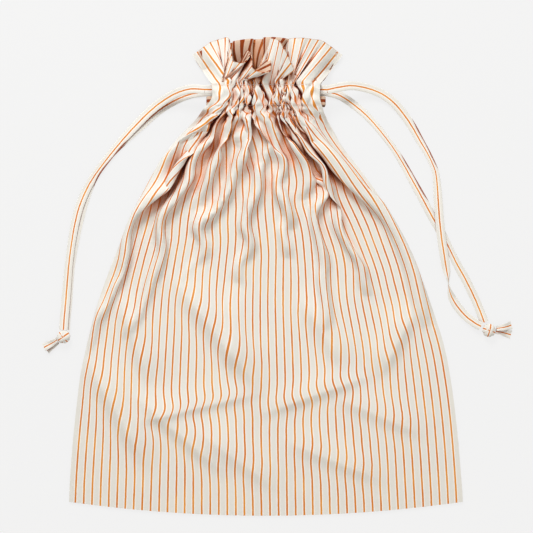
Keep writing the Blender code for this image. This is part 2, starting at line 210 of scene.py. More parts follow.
# --- materials
GROUND = (0.73, 0.72, 0.68, 1)
GROUND_LIGHT = (0.89, 0.88, 0.85, 1)
ORANGE = (0.62, 0.19, 0.030, 1)
ORANGE_LIGHT = (0.84, 0.40, 0.07, 1)
SLUB = (0.68, 0.66, 0.58, 1)  # thicker threads in the weave
WARM = (0.86, 0.78, 0.66, 1)  # faint warmer patches
PAINTED_BOUNCE = (0.86, 0.27, 0.05, 1)  # painted bounce light: warm colour painted into a shallow fold, where light would come back out
PAINTED_FOLD_SHADE = (0.17, 0.010, 0.001, 1)  # painted shade at the bottom of a deep fold
# painted shade on the stripes inside folds
STRIPE_PAINTED_SHADE = (0.46, 0.075, 0.010, 1)
# painted shade of the inner side, seen where a folded tape's edges part
PARTED_EDGE_SHADE = (0.30, 0.06, 0.015, 1)
INSIDE_SHADE_NEAR = ((0.62, 0.44, 0.32, 1), (0.22, 0.030, 0.006, 1))  # painted shade of the inside, ground and stripe, near the mouth
INSIDE_SHADE_FAR = ((0.30, 0.11, 0.055, 1), (0.035, 0.003, 0.001, 1))  # the same painted shade, darker far in
WORN_THREAD = (0.70, 0.60, 0.46, 1)
FOLD_SHADE_REACH = 0.012  # how far around a point its folds paint shade onto it
STRIPE_WIDTH = 0.0019
THREAD_PITCH = 0.00055


def cotton_material(name, pitch=STRIPE_PITCH, stripe=STRIPE_WIDTH, offset=0.0,
                    shade=0.74, inside=0.0, relief=0.35, opened=0.0):
    """Plain-weave cotton with thin orange stripes and greyer bands between them.

    The stripes follow the cloth's own flat width, which its UV map keeps in metres. Ambient
    occlusion paints shade into its folds: a painted warm bounce colour in shallow ones, painted
    dark shade deep in them, and darker stripes there. shade is how strong that painted warm colour
    is, inside how much painted shade of the inner side is used, and opened how wide a folded
    tape's edges part in places and show that side's painted shade.
    """
    n = Nodes(name)
    flat = n.node("ShaderNodeUVMap", uv_map="cloth")
    split = n.node("ShaderNodeSeparateXYZ", flat).node
    across, along = split.outputs[:2]
    wander = n.math("MULTIPLY", n.math("SUBTRACT", n.noise(flat, 160.0), 0.5), 0.0005)
    place = n.math("ADD", n.math("ADD", across, wander), offset)
    cell = n.math("FRACT", n.math("DIVIDE", place, pitch))
    from_stripe = n.math("MULTIPLY", n.math("ABSOLUTE", n.math("SUBTRACT", cell, 0.5)), pitch)
    in_stripe = n.ramp(from_stripe, stripe / 2 - 0.00012, stripe / 2 + 0.00012, 1.0, 0.0)
    beside = n.ramp(from_stripe, stripe / 2 + 0.0005, stripe / 2 + 0.0012, 1.0, 0.0)
    slub = n.noise(flat, 900.0, 3.0, 0.7)
    patch = n.noise(flat, 25.0, 2.0)
    ground = n.mix(beside, GROUND, GROUND_LIGHT)
    ground = n.mix(n.ramp(slub, 0.35, 0.7, 0.0, 0.22), ground, SLUB)
    ground = n.mix(n.ramp(patch, 0.3, 0.7, 0.0, 0.12), ground, WARM)
    faded = n.math("MULTIPLY", n.ramp(n.noise(flat, 28.0), 0.42, 0.62, 0.15, 1.0), 0.8)
    thread = n.mix(n.math("MULTIPLY", n.ramp(slub, 0.25, 0.7, 0.3, 1.0), faded), ORANGE, ORANGE_LIGHT)
    # ambient occlusion, which drives the painted shade in the folds below
    shade_occlusion = n.node("ShaderNodeAmbientOcclusion", out=1, samples=12)
    shade_occlusion.node.inputs["Distance"].default_value = FOLD_SHADE_REACH
    # stripes darkened by painted shade in folds
    thread = n.mix(n.ramp(shade_occlusion, 0.55, 0.97, 0.9, 0.0), thread, STRIPE_PAINTED_SHADE)
    colour = n.mix(in_stripe, ground, thread)
    # Painted shade: dark slivers where a folded tape's edges part, drawn in colour only.
    if opened:
        side = n.math("MULTIPLY", across, n.ramp(n.noise(flat, 4.0), 0.45, 0.55, -1.0, 1.0))
        parted = n.ramp(n.noise(flat, 13.0, 1.0), 0.50, 0.68, 0.0, opened)
        edge = n.ramp(n.math("ADD", side, parted), TAPE_WIDTH / 2, TAPE_WIDTH / 2 + 0.0004)
        colour = n.mix(n.math("MULTIPLY", edge, 0.92), colour, PARTED_EDGE_SHADE)
    # painted shade of the inner side, darker further in from the mouth's edge
    if inside:
        shade_depth = n.ramp(along, FLAT_LENGTH + 0.004, FLAT_LENGTH + 0.036, 0.0, 1.0)
        shade_near = n.mix(in_stripe, *INSIDE_SHADE_NEAR)
        shade_far = n.mix(in_stripe, *INSIDE_SHADE_FAR)
        colour = n.mix(inside, colour, n.mix(shade_depth, shade_near, shade_far))
    # painted warm bounce light in shallow folds, then painted dark shade in deep ones
    colour = n.mix(n.ramp(shade_occlusion, 0.42, 0.82, shade, 0.0), colour, PAINTED_BOUNCE)
    colour = n.mix(n.ramp(shade_occlusion, 0.28, 0.58, 0.97, 0.0), colour, PAINTED_FOLD_SHADE)
    warp = n.math("SINE", n.math("MULTIPLY", across, 2 * pi / THREAD_PITCH))
    weft = n.math("SINE", n.math("MULTIPLY", along, 2 * pi / THREAD_PITCH))
    weave = n.math("MULTIPLY", warp, weft)
    height = n.math("ADD", n.math("MULTIPLY", weave, 0.5), n.math("MULTIPLY", slub, 1.5))
    n.bump(height, relief, 0.00015)
    n.surface(Base_Color=colour, Roughness=n.ramp(slub, 0.3, 0.7, 0.82, 0.95), Sheen_Weight=0.06,
              Sheen_Roughness=0.5, Specular_IOR_Level=0.1)
    return n.material


def thread_material(name):
    """Twisted cotton sewing thread, a little uneven in colour."""
    n = Nodes(name)
    place = n.node("ShaderNodeTexCoord", out=3)
    fibre = n.noise(place, 5000.0, 3.0, 0.6)
    worn = n.noise(place, 90.0)
    cream = n.mix(n.ramp(fibre, 0.3, 0.7, 0.0, 1.0), GROUND, GROUND_LIGHT)
    cream = n.mix(n.ramp(worn, 0.35, 0.65, 0.0, 0.35), cream, WORN_THREAD)
    n.bump(fibre, 0.5, 0.0001)
    n.surface(Base_Color=cream, Roughness=n.ramp(fibre, 0.3, 0.7, 0.6, 0.8))
    return n.material


# --- curves and lines
def smooth(x):
    x = np.clip(x, 0, 1)
    return x * x * (3 - 2 * x)


def steps_at(steps, value):
    """What a list of places and levels says, straight between them."""
    at, level = zip(*steps)
    return np.interp(value, at, level)


def curve_between(a, b, c, d, t):
    """The point t of the way from b to c on the Catmull-Rom curve through all four."""
    return b + 0.5 * ((c - a) * t + (2 * a - 5 * b + 4 * c - d) * t**2
                      + (3 * b - a - 3 * c + d) * t**3)


def travelled_along(line):
    """How far along a line each of its points is."""
    return np.concatenate([[0], np.cumsum(np.linalg.norm(np.diff(line, axis=0), axis=1))])


def points_at(line, travelled, at):
    return np.stack([np.interp(at, travelled, line[:, k]) for k in range(3)], axis=1)


def window(reach):
    """The weights of a soft average over that many neighbours on each side."""
    weights = np.hanning(2 * reach + 3)[1:-1]
    return weights / weights.sum()


# --- cloth shapes
def outline_at(y):
    rows = np.array(OUTLINE)
    return np.interp(y, rows[:, 0], rows[:, 1]), np.interp(y, rows[:, 0], rows[:, 2])


CORNER_SOFTENING = 9  # how many points on each side the outline's corners are averaged over


def side_paths(flat):
    """Both side seams' plan positions, at distances up the flat cloth from the bottom seam."""
    found = []
    y = np.concatenate([np.linspace(BOTTOM_Y, TUNNEL_Y[0], 200), np.linspace(*TUNNEL_Y, 20)[1:],
                        np.linspace(TUNNEL_Y[1], MOUTH_Y, 60)[1:]])
    lift = np.where(y < 0, BOTTOM_BOW * (y / BOTTOM_Y) ** 4, -MOUTH_BOW * (y / MOUTH_Y) ** 12)
    for x in outline_at(y):
        width = 2 * CORNER_SOFTENING + 1
        padded = np.pad(x, CORNER_SOFTENING, mode="edge")
        soft = np.convolve(padded, np.ones(width) / width, "valid")
        steps = np.hypot(np.diff(soft), np.diff(y + lift))
        travelled = np.concatenate([[0], np.cumsum(steps)])
        marks = np.interp((*TUNNEL_Y, MOUTH_Y), y, travelled)
        at = np.interp(travelled, (0, *marks), (0, *TUNNEL, FLAT_LENGTH))
        found.append(np.stack([np.interp(flat, at, soft), np.interp(flat, at, y + lift)], axis=1))
    return found


UNEVEN = 0.42  # how much the widths of the pleats differ


def pleat_phase(across, creases, seed):
    """How many pleats, as an angle, lie between the left edge and each point across the cloth.

    creases is how many pleats there are, unevenly spread, or the places between -1 and 1 of
    the creases between them.
    """
    if isinstance(creases, int):
        random = np.random.default_rng(seed)
        edges = np.concatenate([[0], np.cumsum(1 + UNEVEN * random.uniform(-1, 1, creases))])
        edges /= edges[-1]
    else:
        edges = (np.array((-1, *creases, 1)) + 1) / 2
    count = len(edges) - 1
    phase = np.interp(across / FLAT_WIDTH + 0.5, edges, np.arange(count + 1))
    reach = max(1, len(across) // (6 * count))
    padded = np.pad(phase, reach, mode="reflect", reflect_type="odd")
    return 2 * pi * np.convolve(padded, np.ones(2 * reach + 1) / (2 * reach + 1), "valid")


def mesh_from_grid(name, points, across, along, material, subdivide=0):
    """A sheet through a grid of points, with the cloth's flat position as its UV map."""
    rows, columns = points.shape[:2]
    index = np.arange(rows * columns).reshape(rows, columns)
    corners = (index[:-1, :-1], index[:-1, 1:], index[1:, 1:], index[1:, :-1])
    faces = np.stack(corners, axis=-1).reshape(-1, 4)
    data = bpy.data.meshes.new(name)
    data.from_pydata(points.reshape(-1, 3).tolist(), [], faces.tolist())
    layer = data.uv_layers.new(name="cloth")
    flat = np.stack(np.meshgrid(across, along), axis=-1).reshape(-1, 2)
    layer.data.foreach_set("uv", flat[faces.ravel()].ravel())
    data.shade_smooth()
    data.materials.append(material)
    piece = placed(name, data)
    if subdivide:
        modifier = piece.modifiers.new("finer", "SUBSURF")
        modifier.levels = modifier.render_levels = subdivide
        modifier.uv_smooth = "NONE"
    return piece


# --- cloth solver
CONTACT = 0.0016  # how close two layers of cloth may come
STIFFNESS = 1.5e-6  # bending stiffness of thin crisp cotton, in newton metres
AREA_MASS = 0.13  # kilograms in a square metre
GRAVITY = 5.0  # less than the real 9.8, for the stiffness that many small folds add
TIME_STEP = 0.004
GRIP = 0.9  # friction of cloth on what is under it
LAYER_GRIP = 0.3
SHEAR_SHARE = 0.2  # how much of a slant between threads is taken back in a round
PACKED = 0.2  # how freely the cloth moves near the neck, where its folds are packed tight


def neighbours(count, odd):
    """Every second place in a row of that many, and the place after each."""
    reach = odd + 2 * ((count - 1 - odd) // 2)
    return slice(odd, reach, 2), slice(odd + 1, reach + 1, 2)


class Cloth:
    """A sheet as a grid of points, moved in small steps that keep threads at their length."""

    def __init__(self, points, pinned, hold):
        self.points = points.astype(np.float32)
        self.speed = np.zeros_like(self.points)
        rows, columns = points.shape[:2]
        self.spacing = (FLAT_LENGTH / (rows - 1), FLAT_WIDTH / (columns - 1))
        self.free = np.where(pinned, 0, 1).astype(np.float32)
        self.hold = hold
        pull = STIFFNESS / (AREA_MASS * self.spacing[1] ** 4) * TIME_STEP**2
        self.slack = np.float32(1 / pull)
        self.touching = None
        up = np.linspace(0, FLAT_LENGTH, rows)[:, None, None]
        self.ease = np.interp(up, (0.30, 0.40), (1.0, PACKED)).astype(np.float32)
        self.edge_y = np.linspace(BOTTOM_Y, MOUTH_Y, 300)
        sides = side_paths(np.linspace(0, FLAT_LENGTH, 400))
        self.edges = [np.interp(self.edge_y, s[:, 1], s[:, 0]) for s in sides]

    def link(self, first, second, rest, share):
        """Bring each pair of points back towards the distance that the cloth keeps them at."""
        apart = self.points[second] - self.points[first]
        length = np.sqrt((apart * apart).sum(-1)) + 1e-9
        a, b = self.free[first], self.free[second]
        fix = (share * (length - rest) / (length * (a + b + 1e-9)))[..., None] * apart
        self.points[first] += a[..., None] * fix
        self.points[second] -= b[..., None] * fix

    def keep_threads(self):
        """Threads keep their length, and the mesh between them its shape, up to a point."""
        rows, columns = self.free.shape
        every, but_last, but_first = slice(None), slice(None, -1), slice(1, None)
        diagonal = float(np.hypot(*self.spacing))
        for odd in (0, 1):
            left, right = neighbours(columns, odd)
            self.link((every, left), (every, right), self.spacing[1], 1.0)
            low, high = neighbours(rows, odd)
            self.link((low, every), (high, every), self.spacing[0], 1.0)
            self.link((low, but_last), (high, but_first), diagonal, SHEAR_SHARE)
            self.link((low, but_first), (high, but_last), diagonal, SHEAR_SHARE)

    def keep_flat(self, axis):
        """The cloth's resistance to bending, on every three points in a line."""
        count = self.points.shape[axis]
        for start in range(3):
            at = []
            for k in range(3):
                run = slice(start + k, count - 2 + k, 3)
                at.append((slice(None), run) if axis else (run, slice(None)))
            a, b, c = at
            bend = self.points[a] - 2 * self.points[b] + self.points[c]
            weight = self.free[a] + 4 * self.free[b] + self.free[c] + self.slack
            bend /= weight[..., None]
            self.points[a] -= self.free[a][..., None] * bend
            self.points[b] += 2 * self.free[b][..., None] * bend
            self.points[c] -= self.free[c][..., None] * bend

    def find_touching(self):
        """Every two points that are near each other but aren't neighbours in the cloth."""
        flat = self.points.reshape(-1, 3)
        reach = 1.6 * CONTACT
        cell = np.floor(flat / reach).astype(np.int64)
        cell -= cell.min(0) - 1
        size = cell.max(0) + 2
        code = (cell[:, 0] * size[1] + cell[:, 1]) * size[2] + cell[:, 2]
        order = np.argsort(code, kind="stable")
        code = code[order]
        place = np.arange(len(flat))
        steps = [(0, 0, 0), (0, 0, 1)] + [(0, 1, k) for k in (-1, 0, 1)]
        steps += [(1, j, k) for j in (-1, 0, 1) for k in (-1, 0, 1)]
        columns = self.points.shape[1]
        pairs = []
        for step in steps:
            target = code + (step[0] * size[1] + step[1]) * size[2] + step[2]
            low = np.searchsorted(code, target, "left") if any(step) else place + 1
            count = np.maximum(np.searchsorted(code, target, "right") - low, 0)
            first = np.repeat(place, count)
            second = np.arange(count.sum()) - np.repeat(np.cumsum(count) - count, count)
            first, second = order[first], order[second + np.repeat(low, count)]
            rows_apart = np.abs(first // columns - second // columns)
            columns_apart = np.abs(first % columns - second % columns)
            apart = flat[first] - flat[second]
            near = ((rows_apart > 2) | (columns_apart > 2)) & ((apart**2).sum(1) < reach**2)
            pairs.append((first[near], second[near]))
        self.touching = [np.concatenate(side) for side in zip(*pairs)]

    def keep_layers_apart(self, before):
        flat = self.points.reshape(-1, 3)
        first, second = self.touching
        apart = flat[first] - flat[second]
        length = np.sqrt((apart * apart).sum(1)) + 1e-9
        hit = length < CONTACT
        first, second, apart, length = first[hit], second[hit], apart[hit], length[hit]
        free = self.free.reshape(-1)
        a, b = free[first], free[second]
        push = (0.5 * (CONTACT - length) / (length * (a + b + 1e-9)))[:, None] * apart
        moved = flat - before.reshape(-1, 3)
        slip = moved[second] - moved[first]
        out = apart / length[:, None]
        slip -= (slip * out).sum(1)[:, None] * out
        push += LAYER_GRIP * 0.5 * slip
        for axis in range(3):
            gain = np.bincount(first, a * push[:, axis], len(flat))
            loss = np.bincount(second, b * push[:, axis], len(flat))
            flat[:, axis] += (gain - loss).astype(np.float32)

    def rest_on(self, height, before, press):
        x, y, z = (self.points[:, :, axis] for axis in range(3))
        under = height(x, y)
        np.minimum(z, steps_at(PRESSED, y) + press, out=z)
        np.maximum(z, under, out=z)
        lying = (z <= under + 0.0003)[..., None]
        drift = before[:, :, :2] - self.points[:, :, :2]
        self.points[:, :, :2] += lying * GRIP * drift
        low, high = (np.interp(y, self.edge_y, edge) for edge in self.edges)
        np.clip(x, low, high, out=x)

    def fall(self, steps, rounds, height, presses):
        for count in range(steps):
            press = presses[0] + (presses[1] - presses[0]) * count / steps
            self.speed[:, :, 2] -= GRAVITY * TIME_STEP
            move = self.speed * TIME_STEP
            length = np.sqrt((move * move).sum(-1, keepdims=True)) + 1e-12
            before = self.points.copy()
            self.points += move * np.minimum(1, 0.001 / length) * (self.free > 0)[..., None]
            if count % 4 == 0:
                self.find_touching()
            for _ in range(rounds):
                self.keep_threads()
                self.keep_flat(1)
                self.keep_flat(0)
                self.keep_layers_apart(before)
                self.rest_on(height, before, press)
                self.hold(self.points)
            self.points = before + (self.points - before) * self.ease
            self.speed = (self.points - before) / TIME_STEP * 0.95


def resample(grid, rows, columns):
    """The same smooth sheet through more points."""
    for axis, count in ((0, rows), (1, columns)):
        last = grid.shape[axis] - 1
        place = np.linspace(0, last, count)
        left = np.clip(np.floor(place).astype(int), 0, last - 1)
        shape = (-1, 1, 1) if axis == 0 else (1, -1, 1)
        t = (place - left).reshape(shape)
        padded = np.concatenate([
            2 * grid.take([0], axis) - grid.take([1], axis), grid,
            2 * grid.take([last], axis) - grid.take([last - 1], axis),
        ], axis)
        grid = curve_between(*(padded.take(left + k, axis) for k in range(4)), t)
    return grid


# --- the two panels
EASE = 0.030  # how gradually folds come and go along the cloth
WAVES = (  # distance up the flat cloth, the waves' creases there or how many pleats, how much
    # the cloth leans in them and how much of that is left in the middle
    (0.000, (-0.85, -0.45, 0.10, 0.50, 0.86), 0.30, 0.4),
    (0.120, (-0.93, -0.84, -0.72, -0.30, 0.22, 0.70, 0.82, 0.92), 0.30, 0.25),
    (0.240, (-0.94, -0.86, -0.77, -0.66, -0.42, -0.12, 0.12, 0.40, 0.64, 0.76, 0.86, 0.94), 0.42, 0.35),
    (0.345, (-0.92, -0.80, -0.66, -0.45, -0.20, 0.10, 0.40, 0.62, 0.78, 0.92), 0.20, 0.6),
    (0.405, 15, 0.15, 1.0),
    (0.441, 17, 0.25, 1.0),
    (0.500, 17, 0.25, 1.0),
)
TUCKS = (  # each fold's crease at the neck and at its far end, how far up that is, and its depth
    (-0.86, -0.90, 0.290, 1.1), (-0.75, -0.83, 0.215, 0.9), (-0.66, -0.78, 0.300, 0.9),
    (-0.57, -0.74, 0.345, 1.1), (-0.44, -0.52, 0.285, 1.0), (-0.31, -0.33, 0.320, 1.0),
    (-0.20, -0.24, 0.365, 0.8), (-0.09, -0.12, 0.295, 1.3), (0.06, 0.10, 0.340, 1.0),
    (0.18, 0.20, 0.330, 0.8), (0.30, 0.36, 0.300, 0.9), (0.42, 0.50, 0.250, 1.0),
    (0.54, 0.66, 0.200, 1.0), (0.66, 0.77, 0.310, 0.8), (0.77, 0.87, 0.240, 0.9),
    (0.88, 0.93, 0.320, 0.8),
)
TUCK_WIDTH = (0.0050, 0.0125)  # cloth turned back in a fold, at its far end and at the neck
TUCK_LEAN = 2.35  # radians from flat, where a fold is deepest
DRIFT_REACH = 0.080  # how far along the cloth its threads stay straight
STEEPEST = ((0.30, 1.25), (0.37, 1.50), (0.420, TUCK_LEAN))  # how far the cloth may lean, by height
TUCK_SWAY = 0.0035  # how far a crease sways sideways where the drawstrings bunch it
MOUTH = (  # the front panel's edge at the mouth, seam to seam: two side fans, three flaps between
    (-0.0740, 0.2235, 0.0036), (-0.0550, 0.2350, 0.012), (-0.0375, 0.2390, 0.018),
    (-0.0350, 0.2250, 0.024), (-0.0330, 0.2120, 0.031), (-0.0205, 0.2095, 0.035),
    (-0.0150, 0.2180, 0.031), (-0.0185, 0.2270, 0.013), (-0.0145, 0.2190, 0.027),
    (-0.0140, 0.2045, 0.034), (-0.0050, 0.1995, 0.038), (0.0045, 0.2005, 0.037),
    (0.0050, 0.2120, 0.031), (0.0015, 0.2290, 0.013), (0.0040, 0.2360, 0.026),
    (0.0120, 0.2330, 0.035), (0.0205, 0.2180, 0.038), (0.0280, 0.2020, 0.035),
    (0.0235, 0.2120, 0.019), (0.0190, 0.2280, 0.011), (0.0225, 0.2370, 0.020),
    (0.0360, 0.2370, 0.023), (0.0560, 0.2360, 0.014), (0.0770, 0.2235, 0.0036),
)
MOUTH_ROUNDING = 0.0035  # how rounded the folds of that edge are
FRONT_BASE = ((0, 0.0024), (0.05, 0.004), (0.25, 0.006), (0.40, 0.016),
              (0.43, 0.0205), (0.452, 0.0205), (0.5, 0.018))
FRONT_SEAM = ((0, 0.0024), (0.385, 0.0026), (0.403, 0.0060), (0.43, 0.0205),
              (0.452, 0.0205), (0.476, 0.0034), (0.5, 0.0036))  # it only opens where the tapes leave
SETTLING = (  # grid spacing, steps, rounds in each step, and how high the press starts and ends
    (0.0030, 24, 6, 0.010, 0.002), (0.0022, 16, 6, 0.002, 0.0),
)
FINEST = 0.0012  # grid spacing of the finished sheet
PRESSED = (  # height that the folds are pressed down to, at a distance up the bag
    (-0.2395, 0.0050), (-0.1600, 0.0065), (-0.0800, 0.0085), (-0.0200, 0.0105),
    (0.0400, 0.0140), (0.0900, 0.0195), (0.1350, 0.0270), (0.1600, 0.0340), (0.2395, 0.0440),
)


def wave_shape(across, along, waves):
    """Broad waves: how far the cloth leans to one side or the other at each point."""
    shape = np.zeros((len(along), len(across)))
    at = [row[0] for row in waves]
    flank = smooth((np.abs(across) / (FLAT_WIDTH / 2) - 0.45) / 0.25)
    for k, (_, creases, depth, middle) in enumerate(waves):
        own = np.zeros(len(waves))
        own[k] = depth
        weight = np.interp(along, at, own)[:, None] * (middle + (1 - middle) * flank)
        shape += weight * np.sin(pleat_phase(across, creases, k))
    return shape


def crease_lines(along):
    """Each knife fold's crease up the cloth, its width, how deep it has grown and which way it lies."""
    bunched = smooth((along - 0.385) / 0.040)
    random = np.random.default_rng(2)
    for neck, end, start, depth in TUCKS:
        up = np.clip((along - start) / (TUNNEL[0] - start), 0, 1)
        sway = np.sin(along / random.uniform(0.0035, 0.0055) + random.uniform(0, 2 * pi))
        crease = (end + (neck - end) * up**0.8) * FLAT_WIDTH / 2 + TUCK_SWAY * sway * bunched
        width = TUCK_WIDTH[0] + (TUCK_WIDTH[1] - TUCK_WIDTH[0]) * up
        width = width * (1 + random.uniform(-0.25, 0.25) * bunched)
        grown = smooth((along - start) / 0.07) * depth * (0.6 + 0.4 * up)
        yield crease[:, None], width[:, None], grown[:, None], np.sign(neck)


def tuck_shape(across, along):
    """Knife folds that start down the bag and deepen towards the neck, laid over to the middle."""
    shape = np.zeros((len(along), len(across)))
    for crease, width, grown, way in crease_lines(along):
        near = np.clip(1 - np.abs(across - crease) / width, 0, 1)
        shape += way * smooth(near * 1.6) * grown
    fade = smooth((along - 0.46) / 0.04)[:, None]
    return shape * TUCK_LEAN * (1 - fade)


def eased(values, reach):
    """Each row blended with its neighbours up and down the cloth."""
    padded = np.concatenate([values[:1].repeat(reach, 0), values, values[-1:].repeat(reach, 0)])
    return sum(w * padded[k : k + len(values)] for k, w in enumerate(window(reach)))


def level_out(heights, reach):
    """Takes the slow rise and fall out of each row's heights."""
    padded = np.pad(heights, ((0, 0), (reach, reach)), mode="reflect", reflect_type="odd")
    total = np.cumsum(np.pad(padded, ((0, 0), (1, 0))), axis=1)
    mean = (total[:, 2 * reach + 1:] - total[:, :-2 * reach - 1]) / (2 * reach + 1)
    return heights - mean


def lean_for(ratio, shape, limit):
    """How strongly each row has to fold for its width to shrink to that ratio."""
    low, high = np.zeros(len(ratio)), np.full(len(ratio), 2.6)
    for _ in range(40):
        middle = (low + high) / 2
        leaning = np.clip(middle[:, None] * shape, -limit, limit)
        wide = np.cos(leaning).mean(1) > ratio
        low, high = np.where(wide, middle, low), np.where(wide, high, middle)
    return low


def gathered(rows, columns, waves, base, seam, tucked=False):
    """The panel folded into waves that just fit between its side seams, row by row."""
    across = np.linspace(-FLAT_WIDTH / 2, FLAT_WIDTH / 2, columns)
    along = np.linspace(0, FLAT_LENGTH, rows)
    left, right = side_paths(along)
    ratio = np.minimum(np.hypot(*(right - left).T) / FLAT_WIDTH, 0.9995)
    shape = wave_shape(across, along, waves)
    if tucked:
        shape += tuck_shape(across, along)
    reach = max(1, round(EASE / (along[1] - along[0])))
    limit = steps_at(STEEPEST, along)[:, None]
    strength = eased(lean_for(ratio, shape, limit), reach)
    lean = np.clip(strength[:, None] * shape, -limit, limit)
    lean = eased(lean, max(1, reach // 3))
    lean = (lean[:, 1:] + lean[:, :-1]) / 2
    step = across[1] - across[0]
    start = np.zeros((rows, 1))
    x = np.concatenate([start, np.cumsum(np.cos(lean), axis=1) * step], axis=1)
    z = np.concatenate([start, np.cumsum(np.sin(lean), axis=1) * step], axis=1)
    share = x / x[:, -1:]
    z -= share * z[:, -1:]
    if tucked:
        drift = share - (across / FLAT_WIDTH + 0.5)
        drift -= level_out(drift, round(0.018 / step))
        share = share - drift + eased(drift, round(DRIFT_REACH / (along[1] - along[0])))
        z = level_out(z, round(0.016 / step))
    z -= eased(np.minimum(z.min(axis=1, keepdims=True), 0), reach)
    points = np.zeros((rows, columns, 3))
    points[:, :, :2] = left[:, None] + (right - left)[:, None] * share[:, :, None]
    crown = MOUTH_BOW * smooth((along - 0.44) / 0.06) - BOTTOM_BOW * smooth(1 - along / 0.2)
    points[:, :, 1] += crown[:, None] * (1 - (2 * share - 1) ** 2)
    near_seam = smooth((1 - np.abs(across) / (FLAT_WIDTH / 2)) / 0.10)[None, :]
    opened = smooth((along - TUNNEL[0] + 0.016) / 0.018) * smooth((TUNNEL[1] + 0.012 - along) / 0.012)
    near_seam = near_seam + (1 - near_seam) * opened[:, None]
    low = steps_at(seam, along)[:, None]
    points[:, :, 2] = low + (z + steps_at(base, along)[:, None] - low) * near_seam
    return points, across, along


BACK_TOP = 0.0024  # where the front panel lies on the flat part of the back one


def back_height(x, y):
    """The upper surface of the back panel, which the front one lies on."""
    low, high = outline_at(y)
    side = np.clip(np.abs(2 * x - low - high) / (high - low), 0, 1)
    return (BACK_TOP + 0.0100 * smooth((y + 0.02) / 0.19) * (1 - side**4)).astype(np.float32)


WRINKLES = (  # from, to (x, y), height, half width and how far the stripes bend across it
    ((-0.185, -0.070), (-0.112, -0.200), 0.0062, 0.014, 0.0024),
    ((-0.140, -0.110), (-0.030, -0.205), 0.0052, 0.013, 0.0020),
    ((-0.145, -0.148), (0.010, -0.112), 0.0036, 0.011, 0.0022),
    ((-0.020, -0.142), (0.120, -0.092), 0.0042, 0.011, -0.0022),
    ((-0.100, 0.010), (0.005, -0.125), 0.0070, 0.015, 0.0028),
    ((-0.037, 0.000), (-0.034, -0.105), 0.0040, 0.009, 0.0014),
    ((0.110, -0.105), (0.152, -0.025), 0.0058, 0.012, -0.0020),
    ((0.030, -0.010), (0.085, -0.100), 0.0050, 0.013, 0.0020),
    ((-0.150, -0.010), (-0.112, -0.115), 0.0052, 0.013, 0.0018),
    ((0.010, -0.160), (0.130, -0.208), 0.0040, 0.014, 0.0014),
    ((-0.080, -0.145), (0.020, -0.218), 0.0040, 0.015, 0.0012),
    ((0.060, -0.115), (0.168, -0.162), 0.0038, 0.013, 0.0014),
)


def wrinkled(points):
    """Shallow wrinkles in the loose lower part: one side steep, the other easing away."""
    points = points.copy()
    plan = points[:, :, :2].copy()
    for start, end, height, half, step in WRINKLES:
        run = np.subtract(end, start)
        length = np.hypot(*run)
        run /= length
        along = ((plan - start) * run).sum(-1) / length
        apart = (plan - start) @ np.array((-run[1], run[0]))
        taper = smooth(along / 0.35) * smooth((1 - along) / 0.35)
        steep = np.where(apart < 0, half * 0.55, half * 1.6)
        points[:, :, 2] += height * taper * np.exp(-np.abs(apart / steep) ** 1.7)
        points[:, :, 0] += 1.8 * step * taper * apart / half * np.exp(-((apart / half) ** 2))
    return points


SLIT = 0.0075  # how deep the cloth dips beside each fold that the drawstrings bunch
SLIT_FLOOR = 0.0200  # how low those dips may reach
PUCKER = 0.0008  # how far the cloth puffs up and sideways between the tunnel's stitches
PUFF_LENGTH = 0.013
PUFF_TURNS = (410, 233)  # how fast the puffs shift across the cloth, in radians a metre
STITCH_DIP = 0.0012


def puckered(points, across, along):
    """The small puffs of cloth that the drawstrings bunch up in the tunnel."""
    points = points.copy()
    tunnel = smooth((along - 0.405) / 0.02) * smooth((0.475 - along) / 0.02)
    turns = np.sin(across * PUFF_TURNS[0]) + 0.7 * np.sin(across * PUFF_TURNS[1] + 1.3)
    puff = np.sin(along[:, None] * 2 * pi / PUFF_LENGTH + 2.2 * turns[None, :]) * tunnel[:, None]
    points[:, :, 2] += PUCKER * (puff + 1) * tunnel[:, None]
    points[:, 1:-1, 0] += (1.1 * PUCKER * np.roll(puff, 9, axis=1))[:, 1:-1]
    row = np.minimum(np.abs(along - TUNNEL[0] - 0.0015), np.abs(along - TUNNEL[1] + 0.0015))
    points[:, :, 2] -= STITCH_DIP * np.exp(-((row / 0.0025) ** 2))[:, None]
    bunched = smooth((along - 0.375) / 0.03) * smooth((0.466 - along) / 0.012)
    low = np.minimum(points[:, :, 2], SLIT_FLOOR)
    for crease, _, _, way in crease_lines(along):
        cut = np.exp(-(((across - crease - way * 0.002) / 0.0022) ** 2)) * bunched[:, None]
        points[:, :, 2] -= SLIT * cut
    points[:, :, 2] = np.maximum(points[:, :, 2], low)
    return points


def ruffled(points, across, along):
    """The ruffle: each thread runs straight from its pleat in the tunnel to the mouth's edge."""
    points = points.copy()
    corners = np.array(MOUTH)
    at = travelled_along(corners)
    place = np.linspace(0, at[-1], len(across))
    edge = points_at(corners, at, place)
    reach = round(MOUTH_ROUNDING / place[1])
    padded = np.pad(edge, ((reach, reach), (0, 0)), mode="reflect", reflect_type="odd")
    edge = np.stack([np.convolve(side, window(reach), "valid") for side in padded.T], axis=1)
    base = np.searchsorted(along, TUNNEL[1] + 0.001)
    share = ((along[base:] - along[base]) / (FLAT_LENGTH - along[base]))[:, None, None]
    points[base:] = points[base] + (edge - points[base]) * share
    sewn = 1 - smooth((1 - np.abs(across) / (FLAT_WIDTH / 2)) / 0.08)
    seam = np.minimum(points[base:, :, 2], steps_at(FRONT_SEAM, along[base:])[:, None])
    points[base:, :, 2] += (seam - points[base:, :, 2]) * sewn
    return points


